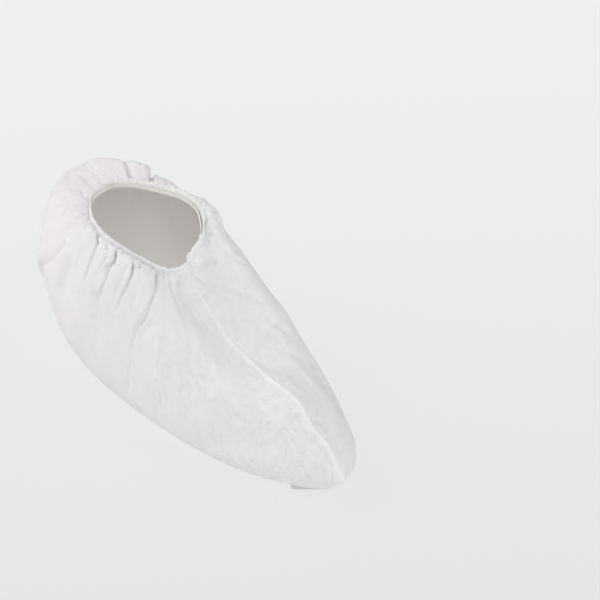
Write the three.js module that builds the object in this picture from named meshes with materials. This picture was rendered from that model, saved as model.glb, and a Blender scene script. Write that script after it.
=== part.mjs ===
// Disposable nonwoven shoe cover. Two side panels are sewn together along one centre seam that runs from the
// ankle opening over the vamp, round the toe, under the sole and up the heel. An elastic tape inside the hem
// draws the opening in and gathers the cloth below it.
// Millimetres: +X to the toe, +Z up, the wearer's right side at -Y.
import * as THREE from 'three';

// Driving dimensions
const WALL = 1.2;
const HEM_HEIGHT = 4;
const SOLE_LENGTH = 305;
const TOE_SPRING = 10;
const TOE_SPRING_START = 225;
const MIDDLE_X = 146.4;
const SEAM = { gap: 0.3, allowance: 5, ridge: 1.5, ridgeWidth: 2.5, clearOfHem: 5, taper: 8 };
const TAPE = { height: 3.4, thickness: 1, gap: 0.3, belowEdge: 0.3 };
const GATHERS = { perPanel: 15, depth: 1.1, start: 2, full: 8, reach: 24 };

// Folds are calm this close to the seam, and below this drop towards the floor.
const SEAM_CALM = 8;
const FLOOR_CALM = 0.82;

// Mesh: rows down the flank, closer together near the hem, rows across the sole, lines in a fold's chain, the
// drop by which the columns have done their leaning, and the step that slopes are measured over.
const FLANK_ROWS = 13;
const FLANK_CROWDING = 1.3;
const SOLE_ROWS = 2;
const FOLD_STEPS = 6;
const LEAN_END = 0.6;
const SLOPE_STEP = 0.002;

// Cross-sections of one half, from the seam at the toe round to the seam at the heel. x is measured from the
// back of the sole and y from the centre seam. leftRim and rightRim are the hem's top edge on either side, and
// leftFloor and rightFloor the edge of the sole. The sides differ, because the cloth is limp.
// From the hem's foot the cloth leaves by the shoulder, reach of the way out and rise up, and it comes
// down to the floor by the flank, bulge further out and lift up. Mesh columns, as many as columns says to
// the next section, lean that many sections towards the heel on their way down, as the folds do.
const SECTIONS = [
  {
    name: 'toe_seam', leftRim: [140, 0, 88], rightRim: [140, 0, 88],
    leftFloor: [305, 0], rightFloor: [305, 0],
    reach: 0.09, rise: -51, bulge: -6, lift: 48, lean: 0, columns: 5,
  },
  {
    name: 'toe_corner', leftRim: [136.5, 6, 88.5], rightRim: [140, 7, 87.5],
    leftFloor: [296, 17], rightFloor: [302, 13],
    reach: 0.1, rise: -43, bulge: 0, lift: 42, lean: 0.4, columns: 6,
  },
  {
    name: 'toe_side', leftRim: [133.5, 13, 90.5], rightRim: [136.5, 14, 88],
    leftFloor: [279, 30], rightFloor: [278, 27],
    reach: 0.13, rise: -25, bulge: 6, lift: 37, lean: 0.9, columns: 8,
  },
  {
    name: 'forefoot', leftRim: [130, 20.5, 92.5], rightRim: [130, 18.5, 89],
    leftFloor: [240, 46], rightFloor: [240, 42.5],
    reach: 0.2, rise: 0, bulge: 11, lift: 30, lean: 1.6, columns: 7,
  },
  {
    name: 'ball', leftRim: [122, 27.5, 95.5], rightRim: [120, 24, 92],
    leftFloor: [195, 56], rightFloor: [195, 54],
    reach: 0.28, rise: 16, bulge: 13, lift: 22, lean: 1.35, columns: 6,
  },
  {
    name: 'arch', leftRim: [108.5, 34, 99], rightRim: [107, 29.5, 95.5],
    leftFloor: [150, 60], rightFloor: [150, 60],
    reach: 0.34, rise: 19, bulge: 14, lift: 17, lean: 0.85, columns: 6,
  },
  {
    name: 'waist', leftRim: [92, 33, 100], rightRim: [92, 32.5, 98],
    leftFloor: [106, 60], rightFloor: [106, 60.5],
    reach: 0.5, rise: 14, bulge: 17, lift: 18, lean: 0.2, columns: 7,
  },
  {
    name: 'heel_side', leftRim: [77, 27, 99], rightRim: [76, 30.5, 98.5],
    leftFloor: [66, 54], rightFloor: [66, 53],
    reach: 0.75, rise: 13, bulge: 17, lift: 23, lean: 0.45, columns: 6,
  },
  {
    name: 'heel_curve', leftRim: [62.5, 19.5, 98], rightRim: [61, 24, 98],
    leftFloor: [30, 37], rightFloor: [30, 37],
    reach: 0.98, rise: 15, bulge: 21, lift: 33, lean: 0.2, columns: 5,
  },
  {
    name: 'heel_corner', leftRim: [51, 10.5, 97], rightRim: [50.5, 14.5, 97],
    leftFloor: [8, 20], rightFloor: [9, 20],
    reach: 1.06, rise: 15, bulge: 25, lift: 40, lean: 0, columns: 5,
  },
  {
    name: 'heel_seam', leftRim: [46, 0, 96], rightRim: [46, 0, 96],
    leftFloor: [0, 0], rightFloor: [0, 0],
    reach: 1.12, rise: 16, bulge: 26, lift: 46, lean: 0, columns: 0,
  },
];

// Folds run over the cloth between two places, each [station, drop]: station counts the sections from the toe
// seam, and drop goes from 0 at the hem's foot to 1 at the floor. A negative depth is a swelling.
const SEAM_FOLDS = [
  { name: 'tongue_swelling', from: [0, 0.08], to: [0, 0.2], width: 10, depth: -4 },
  { name: 'vamp_dip', from: [0, 0.42], to: [0, 0.47], width: 9, depth: 1.5 },
  { name: 'toe_box_swelling', from: [0, 0.56], to: [0, 0.64], width: 16, depth: -5.5 },
];

const RIGHT_FOLDS = [
  { name: 'heel_crease', from: [7.25, 0.34], to: [7.9, 0.72], width: 4, depth: 3 },
  { name: 'heel_swelling', from: [7.95, 0.68], to: [8.1, 0.76], width: 7, depth: -5.5 },
  { name: 'heel_dent', from: [6.8, 0.42], to: [6.8, 0.56], width: 8, depth: 2 },
  { name: 'waist_pleat', from: [6.15, 0.02], to: [6.25, 0.5], width: 3, depth: 4 },
  { name: 'arch_pleat', from: [5, 0.02], to: [5.8, 0.47], width: 3.5, depth: 5 },
  { name: 'arch_hollow', from: [5.8, 0.47], to: [5.8, 0.68], width: 8, depth: 2 },
  { name: 'ball_pleat', from: [4.1, 0.03], to: [5.25, 0.47], width: 3, depth: 4 },
  { name: 'long_pleat_top', from: [3, 0.02], to: [4.68, 0.49], width: 3, depth: 4.5 },
  { name: 'long_pleat_foot', from: [4.68, 0.49], to: [5.03, 0.86], width: 3.5, depth: 3 },
  { name: 'long_pleat_branch', from: [4.15, 0.42], to: [4.6, 0.5], width: 4, depth: 1.5 },
  { name: 'forefoot_crease', from: [4.2, 0.7], to: [4.22, 0.88], width: 3.5, depth: 1.5 },
];

const LEFT_FOLDS = [
  { name: 'heel_swelling', from: [9.3, 0.22], to: [7.85, 0.2], width: 9, depth: -6 },
  { name: 'back_crease', from: [9.5, 0.22], to: [9.7, 0.05], width: 3, depth: 2 },
  { name: 'back_pleat', from: [8.4, 0.04], to: [8.47, 0.25], width: 3, depth: 5 },
  { name: 'corner_pleat', from: [7.52, 0.03], to: [7.66, 0.42], width: 3.2, depth: 7 },
  { name: 'waist_swelling', from: [7.25, 0.22], to: [7.15, 0.26], width: 5, depth: -2 },
  { name: 'waist_pleat', from: [6.6, 0.03], to: [6.85, 0.45], width: 3.2, depth: 7 },
  { name: 'arch_pleat', from: [5.4, 0.02], to: [5.9, 0.5], width: 3, depth: 4 },
  { name: 'ball_pleat', from: [4.3, 0.03], to: [5.3, 0.42], width: 3, depth: 3.5 },
  { name: 'shoulder_swelling', from: [5.8, 0.16], to: [5, 0.12], width: 8, depth: -4 },
  { name: 'flank_hollow', from: [4.8, 0.32], to: [4.1, 0.48], width: 14, depth: 3.5 },
  { name: 'side_crease', from: [3.4, 0.22], to: [3.3, 0.34], width: 4, depth: 2 },
  { name: 'tongue_crease', from: [0.6, 0.02], to: [2.45, 0.12], width: 3, depth: 1.5 },
  { name: 'vamp_crease', from: [0.4, 0.06], to: [2.4, 0.42], width: 3.5, depth: 2 },
  { name: 'vamp_hollow', from: [2.4, 0.42], to: [2.8, 0.52], width: 5, depth: 2.5 },
  { name: 'instep_hollow', from: [2.15, 0.29], to: [2.68, 0.4], width: 5, depth: 2.5 },
  { name: 'forefoot_hollow', from: [1.9, 0.48], to: [2.7, 0.63], width: 7, depth: 2 },
];

const LAST_STATION = SECTIONS.length - 1;
const UP = new THREE.Vector3(0, 0, 1);
const LEFT = 1;
const RIGHT = -1;

// The sole lies flat and its front curves up to the toe's tip.
function soleHeight(x) {
  const along = Math.max(0, (x - TOE_SPRING_START) / (SOLE_LENGTH - TOE_SPRING_START));
  return TOE_SPRING * along * along;
}

// The four control points of a section's line on one side, from the hem's foot to the floor.
function sectionHandles({ leftRim, rightRim, leftFloor, rightFloor, reach, rise, bulge, lift }, side) {
  const [rim, floor] = side === LEFT ? [leftRim, leftFloor] : [rightRim, rightFloor];
  const hemFoot = new THREE.Vector3(rim[0], side * rim[1], rim[2] - HEM_HEIGHT);
  const floorEdge = new THREE.Vector3(floor[0], side * floor[1], soleHeight(floor[0]));
  const across = floorEdge.clone().sub(hemFoot).setZ(0);
  const shoulder = hemFoot.clone().addScaledVector(across, reach).addScaledVector(UP, rise);
  const flank = floorEdge.clone().addScaledVector(across.normalize(), bulge).addScaledVector(UP, lift);
  return [hemFoot, shoulder, flank, floorEdge];
}

// Four closed smooth loops, each through one control point of every section: round the left side from toe to
// heel and back along the right side.
const leftHandles = SECTIONS.map((section) => sectionHandles(section, LEFT));
const rightHandles = SECTIONS.slice(1, -1).reverse().map((section) => sectionHandles(section, RIGHT));
const guideLoops = [0, 1, 2, 3].map((k) => {
  const points = [...leftHandles, ...rightHandles].map((handles) => handles[k]);
  return new THREE.CatmullRomCurve3(points, true, 'catmullrom');
});

// A point of the smooth cloth: down the curve whose control points the loops have at this station.
function clothPoint(side, station, drop) {
  const turn = (side * station) / (2 * LAST_STATION);
  const controls = guideLoops.map((loop) => loop.getPoint(((turn % 1) + 1) % 1));
  controls[3].setZ(soleHeight(controls[3].x));
  return new THREE.CubicBezierCurve3(...controls).getPoint(drop);
}

// Direction along the smooth cloth, from the toe seam towards the heel seam.
function alongCloth(side, station, drop) {
  const behind = clothPoint(side, station - SLOPE_STEP, drop);
  return clothPoint(side, station + SLOPE_STEP, drop).sub(behind);
}

// Outward normal of the smooth cloth, before any fold.
function clothNormal(side, station, drop) {
  const above = clothPoint(side, station, Math.max(0, drop - SLOPE_STEP));
  const down = clothPoint(side, station, Math.min(1, drop + SLOPE_STEP)).sub(above);
  return down.cross(alongCloth(side, station, drop)).multiplyScalar(side).normalize();
}

// A fold as a chain of short lines lying on the smooth cloth.
function foldChain(side, { from, to, width, depth }) {
  const points = [];
  for (let k = 0; k <= FOLD_STEPS; k += 1) {
    const share = k / FOLD_STEPS;
    const station = THREE.MathUtils.lerp(from[0], to[0], share);
    const drop = THREE.MathUtils.lerp(from[1], to[1], share);
    points.push(clothPoint(side, station, drop));
  }
  const lines = points.slice(1).map((point, k) => new THREE.Line3(points[k], point));
  return { lines, width, depth };
}

// Height of the folds at a point of the smooth cloth: a rounded valley along each fold's lines.
function foldHeight(chains, point) {
  const nearest = new THREE.Vector3();
  let height = 0;
  for (const { lines, width, depth } of chains) {
    const distance = Math.min(
      ...lines.map((line) => line.closestPointToPoint(point, true, nearest).distanceTo(point)),
    );
    height -= depth * Math.exp(-((distance / width) ** 2));
  }
  return height;
}

// Even gathers that start under the hem and die out down the flank.
function gatherHeight(station, fromHem) {
  const wave = Math.cos((2 * Math.PI * GATHERS.perPanel * station) / LAST_STATION);
  const start = THREE.MathUtils.smoothstep(fromHem, GATHERS.start, GATHERS.full);
  return GATHERS.depth * wave * start * Math.exp(-((fromHem / GATHERS.reach) ** 2));
}

function makeRelief(side, sideFolds) {
  const seamChains = SEAM_FOLDS.map((fold) => foldChain(side, fold));
  const sideChains = sideFolds.map((fold) => foldChain(side, fold));
  return (station, drop) => {
    const point = clothPoint(side, station, drop);
    const fromHem = point.distanceTo(clothPoint(side, station, 0));
    const offSeam = THREE.MathUtils.smoothstep(Math.abs(point.y), 0, SEAM_CALM);
    const offFloor = 1 - THREE.MathUtils.smoothstep(drop, FLOOR_CALM, 1);
    const offHem = THREE.MathUtils.smoothstep(fromHem, GATHERS.start, GATHERS.full);
    const ridge = SEAM.ridge * Math.exp(-((point.y / SEAM.ridgeWidth) ** 2));
    const flank = offSeam * (foldHeight(sideChains, point) + gatherHeight(station, fromHem));
    return offHem * offFloor * (ridge + flank + foldHeight(seamChains, point));
  };
}

function panelStations() {
  const stations = [];
  SECTIONS.forEach(({ columns }, section) => {
    for (let k = 0; k < columns; k += 1) {
      stations.push(section + k / columns);
    }
  });
  return [...stations, LAST_STATION];
}

const STATIONS = panelStations();

// Where a mesh column that starts at a station of the hem has got to further down.
function leanedStation(start, drop) {
  const section = Math.min(Math.floor(start), LAST_STATION - 1);
  const lean = THREE.MathUtils.lerp(SECTIONS[section].lean, SECTIONS[section + 1].lean, start - section);
  return start + lean * Math.sin((Math.PI / 2) * Math.min(1, drop / LEAN_END));
}

// One column's outer points, from the hem's top edge down the flank and in under the sole to the seam.
function outerLine(side, start, relief) {
  const top = clothPoint(side, start, 0).addScaledVector(UP, HEM_HEIGHT);
  const points = [top];
  for (let k = 0; k <= FLANK_ROWS; k += 1) {
    const drop = (k / FLANK_ROWS) ** FLANK_CROWDING;
    const station = leanedStation(start, drop);
    const normal = clothNormal(side, station, drop);
    points.push(clothPoint(side, station, drop).addScaledVector(normal, relief(station, drop)));
  }
  const floorEdge = points[points.length - 1];
  const seamX = SOLE_LENGTH * (1 - start / LAST_STATION);
  for (let k = 1; k <= SOLE_ROWS; k += 1) {
    const share = k / SOLE_ROWS;
    const x = THREE.MathUtils.lerp(floorEdge.x, seamX, share);
    points.push(new THREE.Vector3(x, floorEdge.y * (1 - share), soleHeight(x)));
  }
  return points;
}

// Triangle soup with shared corners. A turned soup has every face wound the other way.
class Wall {
  constructor(turned) {
    this.turned = turned;
    this.points = [];
    this.triangles = [];
  }

  add(point) {
    this.points.push(point);
    return this.points.length - 1;
  }

  triangle(a, b, c) {
    if (a === b || b === c || c === a) {
      return;
    }
    this.triangles.push(...(this.turned ? [a, c, b] : [a, b, c]));
  }

  quad(a, b, c, d) {
    this.triangle(a, b, c);
    this.triangle(a, c, d);
  }

  geometry() {
    const geometry = new THREE.BufferGeometry();
    const flat = this.points.flatMap((point) => point.toArray());
    geometry.setAttribute('position', new THREE.Float32BufferAttribute(flat, 3));
    geometry.setIndex(this.triangles);
    geometry.computeVertexNormals();
    return geometry;
  }
}

// The outer skin as a grid of corners. At both ends of the panel the sole narrows to the seam's corner.
function addOuterSkin(wall, side, relief) {
  const soleStart = FLANK_ROWS + 1;
  return STATIONS.map((station, column) => {
    const atEnd = column === 0 || column === STATIONS.length - 1;
    const points = outerLine(side, station, relief);
    const corners = points.slice(0, soleStart + 1).map((p) => wall.add(offSeam(side, p)));
    for (const point of points.slice(soleStart + 1)) {
      corners.push(atEnd ? corners[soleStart] : wall.add(offSeam(side, point)));
    }
    return corners;
  });
}

// Keeps a point clear of the centre plane by half the seam's gap.
function offSeam(side, point) {
  return new THREE.Vector3(point.x, point.y + (side * SEAM.gap) / 2, point.z);
}

// The corners along the seam: down the vamp, along the sole and up the heel.
function seamCorners(grid) {
  const soleStart = FLANK_ROWS + 1;
  const vamp = grid[0].slice(0, soleStart + 1);
  const sole = grid.slice(1, -1).map((line) => line[line.length - 1]);
  const heel = grid[grid.length - 1].slice(0, soleStart + 1).reverse();
  return { corners: [...vamp, ...sole, ...heel], toe: vamp.length - 1, heel: vamp.length + sole.length };
}

// How deep the turned-in seam allowance hangs at each seam corner: nothing behind the hem and at the tight
// turns of toe and heel, and its full depth between them.
function allowanceDepths(wall, { corners, toe, heel }) {
  const run = [0];
  for (let k = 1; k < corners.length; k += 1) {
    run.push(run[k - 1] + wall.points[corners[k]].distanceTo(wall.points[corners[k - 1]]));
  }
  const end = run[run.length - 1];
  return run.map((at) => {
    const fromHem = Math.min(at, end - at) - SEAM.clearOfHem;
    const fromTurn = Math.min(Math.abs(at - run[toe]), Math.abs(at - run[heel]));
    const share = THREE.MathUtils.clamp(Math.min(fromHem, fromTurn) / SEAM.taper, 0, 1);
    return THREE.MathUtils.lerp(WALL, SEAM.allowance, share);
  });
}

function normalAt(normals, corner) {
  return new THREE.Vector3().fromBufferAttribute(normals, corner);
}

function panelGeometry(side, folds) {
  const wall = new Wall(side === LEFT);
  const outer = addOuterSkin(wall, side, makeRelief(side, folds));
  for (let i = 0; i + 1 < outer.length; i += 1) {
    for (let j = 0; j + 1 < outer[i].length; j += 1) {
      wall.quad(outer[i][j], outer[i + 1][j], outer[i + 1][j + 1], outer[i][j + 1]);
    }
  }
  const normals = wall.geometry().getAttribute('normal');
  const seam = seamCorners(outer);
  const depths = allowanceDepths(wall, seam);

  // Inner skin: a wall's thickness in from the outer one, and beside the turned-in cloth along the seam.
  const innerOf = new Map();
  const sideways = new THREE.Vector3(0, side * WALL, 0);
  const seamNormals = seam.corners.map((corner) => normalAt(normals, corner).setY(0).normalize());
  seam.corners.forEach((corner, k) => {
    const inward = wall.points[corner].clone().addScaledVector(seamNormals[k], -WALL);
    innerOf.set(corner, wall.add(inward.add(sideways)));
  });
  for (const corner of outer.flat()) {
    if (!innerOf.has(corner)) {
      const inward = wall.points[corner].clone().addScaledVector(normalAt(normals, corner), -WALL);
      innerOf.set(corner, wall.add(inward));
    }
  }
  const inner = outer.map((line) => line.map((corner) => innerOf.get(corner)));
  for (let i = 0; i + 1 < inner.length; i += 1) {
    wall.quad(outer[i + 1][0], outer[i][0], inner[i][0], inner[i + 1][0]);
    for (let j = 0; j + 1 < inner[i].length; j += 1) {
      wall.quad(inner[i][j + 1], inner[i + 1][j + 1], inner[i + 1][j], inner[i][j]);
    }
  }
  addAllowance(wall, { seam, depths, seamNormals, sideways, innerOf });
  return wall.geometry();
}

// The cloth turned in along the seam, as a fin that stands on the inner skin.
function addAllowance(wall, { seam, depths, seamNormals, sideways, innerOf }) {
  const skin = seam.corners;
  const back = skin.map((corner) => innerOf.get(corner));
  const tip = skin.map((corner, k) =>
    wall.add(wall.points[corner].clone().addScaledVector(seamNormals[k], -depths[k])),
  );
  const backTip = tip.map((corner, k) =>
    depths[k] > WALL ? wall.add(wall.points[corner].clone().add(sideways)) : back[k],
  );
  for (let k = 0; k + 1 < skin.length; k += 1) {
    wall.quad(skin[k], skin[k + 1], tip[k + 1], tip[k]);
    wall.quad(tip[k], tip[k + 1], backTip[k + 1], backTip[k]);
    wall.quad(backTip[k], backTip[k + 1], back[k + 1], back[k]);
  }
  const last = skin.length - 1;
  wall.quad(skin[0], tip[0], backTip[0], back[0]);
  wall.quad(skin[last], back[last], backTip[last], tip[last]);
}

// The elastic tape: an upright strip carried round inside the hem.
function tapeGeometry() {
  const wall = new Wall(true);
  const back = STATIONS.slice(1, -1).reverse().map((station) => 2 * LAST_STATION - station);
  const rings = [...STATIONS, ...back].map((station) => {
    const edge = clothPoint(LEFT, station, 0).addScaledVector(UP, HEM_HEIGHT - TAPE.belowEdge);
    const along = alongCloth(LEFT, station, 0).setZ(0);
    const inward = along.normalize().cross(UP).negate();
    const clearance = WALL + TAPE.gap;
    const section = [
      [clearance, 0],
      [clearance + TAPE.thickness, 0],
      [clearance + TAPE.thickness, -TAPE.height],
      [clearance, -TAPE.height],
    ];
    return section.map(([depth, height]) =>
      wall.add(edge.clone().addScaledVector(inward, depth).addScaledVector(UP, height)),
    );
  });
  rings.forEach((ring, i) => {
    const next = rings[(i + 1) % rings.length];
    ring.forEach((corner, k) => {
      const after = (k + 1) % ring.length;
      wall.quad(corner, ring[after], next[after], next[k]);
    });
  });
  return wall.geometry();
}

function clothMaterial(color) {
  return new THREE.MeshStandardMaterial({ color, roughness: 0.85, metalness: 0, flatShading: true });
}

function namedMesh(name, geometry, material) {
  const mesh = new THREE.Mesh(geometry, material);
  mesh.name = name;
  return mesh;
}

const shoeCover = new THREE.Group();
shoeCover.add(namedMesh('right_panel', panelGeometry(RIGHT, RIGHT_FOLDS), clothMaterial('#ecebeb')));
shoeCover.add(namedMesh('left_panel', panelGeometry(LEFT, LEFT_FOLDS), clothMaterial('#e9e8e8')));
shoeCover.add(namedMesh('elastic_band', tapeGeometry(), clothMaterial('#f2eee4')));
shoeCover.position.x = -MIDDLE_X;

export default shoeCover;
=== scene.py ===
"""A slip-on nonwoven shoe cover: two sewn cloth panels, gathered at the ankle by a narrow elastic tape.

Sizes are in millimetres. In the tables x runs from the back of the sole to the toe, y is the distance from
the centre seam and z the height over the floor. Finished meshes are in metres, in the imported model's frame.
"""
import logging
import math
from dataclasses import dataclass, field
from enum import Enum
from functools import cached_property

import bpy
import numpy as np
from mathutils import Matrix, Vector


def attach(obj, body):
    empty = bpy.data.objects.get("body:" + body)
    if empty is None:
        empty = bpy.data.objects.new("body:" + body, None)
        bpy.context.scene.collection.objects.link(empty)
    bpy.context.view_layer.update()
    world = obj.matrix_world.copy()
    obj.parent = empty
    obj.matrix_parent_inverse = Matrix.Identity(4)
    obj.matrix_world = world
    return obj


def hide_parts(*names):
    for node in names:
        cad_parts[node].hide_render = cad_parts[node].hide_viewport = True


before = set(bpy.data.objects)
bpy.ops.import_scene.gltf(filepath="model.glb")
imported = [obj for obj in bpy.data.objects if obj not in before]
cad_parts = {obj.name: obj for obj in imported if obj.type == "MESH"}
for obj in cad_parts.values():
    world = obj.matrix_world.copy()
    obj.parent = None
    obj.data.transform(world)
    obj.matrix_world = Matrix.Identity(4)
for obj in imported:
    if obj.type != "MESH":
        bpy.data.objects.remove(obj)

LOG = logging.getLogger("shoe_cover")
MM = 0.001
UP = np.array([0.0, 0.0, 1.0])
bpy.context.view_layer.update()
SOLE_BACK_X = -146.4
LAST_STATION = 10
BODY = "root"
DOUBLED = "doubled"
SHARP_ANGLE = math.radians(62.0)
MERGE_DISTANCE = 0.01 * MM
TINY = 1e-9
Pairs = tuple[tuple[float, float], ...]


class Side(Enum):
    """The wearer's side that a panel covers, as the sign of its y."""

    LEFT = 1
    RIGHT = -1


@dataclass(frozen=True)
class Section:
    """One cross-section: its rim, its floor edge and the two handles of the curve between them.

    The shoulder's handle lies over the hem's foot by the rise, and out from it by the reach, as a share of
    the way to the floor edge. The flank's handle lies over the floor edge by the lift, and out past it by
    the bulge. The lean is how many stations a line of the cloth that starts here goes towards the heel on
    its way down.
    """

    name: str
    left_rim: tuple[float, float, float]
    right_rim: tuple[float, float, float]
    left_floor: tuple[float, float]
    right_floor: tuple[float, float]
    reach: float
    rise: float
    bulge: float
    lift: float
    lean: float

    def rim(self, side: Side) -> tuple[float, float, float]:
        """The rim's point on one side."""
        return self.left_rim if side is Side.LEFT else self.right_rim

    def floor(self, side: Side) -> tuple[float, float]:
        """The floor edge's point on one side."""
        return self.left_floor if side is Side.LEFT else self.right_floor


SECTIONS = (
    Section("toe_seam", (140, 0, 88), (140, 0, 88), (305, 0), (305, 0), 0.09, -51, -6, 48, 0.0),
    Section("toe_corner", (136.5, 6, 88.5), (140, 7, 87.5), (296, 17), (302, 13), 0.1, -43, 0, 42, 0.4),
    Section("toe_side", (133.5, 13, 90.5), (136.5, 14, 88), (279, 30), (278, 27), 0.13, -25, 6, 37, 0.9),
    Section("forefoot", (130, 20.5, 92.5), (130, 18.5, 89), (240, 46), (240, 42.5), 0.2, 0, 11, 30, 1.6),
    Section("ball", (122, 27.5, 95.5), (120, 24, 92), (195, 56), (195, 54), 0.28, 16, 13, 22, 1.35),
    Section("arch", (108.5, 34, 99), (107, 29.5, 95.5), (150, 60), (150, 60), 0.34, 19, 14, 17, 0.85),
    Section("waist", (92, 33, 100), (92, 32.5, 98), (106, 60), (106, 60.5), 0.5, 14, 17, 18, 0.2),
    Section("heel_side", (77, 27, 99), (76, 30.5, 98.5), (66, 54), (66, 53), 0.75, 13, 17, 23, 0.45),
    Section("heel_curve", (62.5, 19.5, 98), (61, 24, 98), (30, 37), (30, 37), 0.98, 15, 21, 33, 0.2),
    Section("heel_corner", (51, 10.5, 97), (50.5, 14.5, 97), (8, 20), (9, 20), 1.06, 15, 25, 40, 0.0),
    Section("heel_seam", (46, 0, 96), (46, 0, 96), (0, 0), (0, 0), 1.12, 16, 26, 46, 0.0),
)


def unit(vectors: np.ndarray) -> np.ndarray:
    """Vectors of length one, along the last axis."""
    return vectors / np.maximum(np.linalg.norm(vectors, axis=-1, keepdims=True), TINY)


def smooth_step(value: np.ndarray, low: float, high: float) -> np.ndarray:
    """A rise from 0 at low to 1 at high that starts and ends level: 3t squared less 2t cubed."""
    t = np.clip((value - low) / (high - low), 0.0, 1.0)
    return t * t * (3.0 - 2.0 * t)


def smooth_noise(place: np.ndarray, wavelength: float, rng: np.random.Generator) -> np.ndarray:
    """A wandering line between about -1 and 1.

    Three sines of unlike wavelength and chance phase are added and divided by the sum of their heights.

    Args:
        place: Places along the line, in mm.
        wavelength: The longest sine's wavelength, in mm.
        rng: The seeded source of the phases.

    Returns:
        The line's height at each place.
    """
    shares = np.array([1.0, 0.62, 0.37])
    heights = np.array([1.0, 0.7, 0.45])
    phases = rng.uniform(0.0, 2.0 * np.pi, 3)
    waves = np.sin(2.0 * np.pi * place[..., None] / (wavelength * shares) + phases)
    return waves @ heights / heights.sum()


def between(table: Pairs, station: np.ndarray) -> np.ndarray:
    """A short table's values at given stations, on straight lines between the table's own stations."""
    return np.interp(station, *zip(*table))


def way_along(points: np.ndarray) -> np.ndarray:
    """The way along each line of points from its first one: the running sum of the steps between them."""
    steps = np.linalg.norm(np.diff(points, axis=-2), axis=-1)
    return np.concatenate([np.zeros_like(steps[..., :1]), np.cumsum(steps, axis=-1)], axis=-1)


def grid_faces(numbers: np.ndarray) -> np.ndarray:
    """Faces of four corners between the neighbouring rows and columns of a grid of point numbers."""
    corners = (numbers[:-1, :-1], numbers[:-1, 1:], numbers[1:, 1:], numbers[1:, :-1])
    return np.stack(corners, axis=-1).reshape(-1, 4)


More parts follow.
